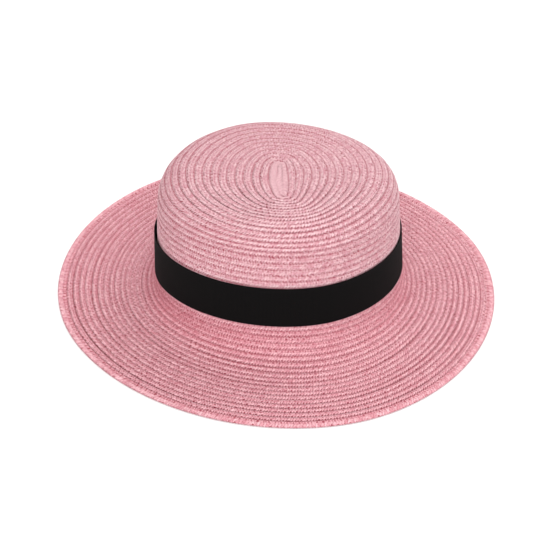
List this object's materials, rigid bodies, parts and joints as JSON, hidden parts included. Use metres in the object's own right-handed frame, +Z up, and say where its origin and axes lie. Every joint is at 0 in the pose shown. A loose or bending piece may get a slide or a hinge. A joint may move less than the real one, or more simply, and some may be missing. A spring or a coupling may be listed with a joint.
{
  "type": "straw boater hat",
  "caption": "Boater hat with a low oval crown, a wide flat brim and a plain ribbon band, sewn from spiral rows of straw braid.",
  "frame": {"origin": "middle of the brim's outline, in the plane that the hat stands on", "axes": "+Z up through the crown, +Y towards the back of the hat, +X towards the wearer's left"},
  "size_m": [0.3216, 0.3504, 0.1034],
  "materials": {
    "straw": "matte sewn paper braid, dusty pink",
    "ribbon": "matt black ribbed ribbon"
  },
  "bodies": {
    "root": {"crown": "straw", "brim": "straw", "ribbon_band": "ribbon"}
  },
  "joints": []
}
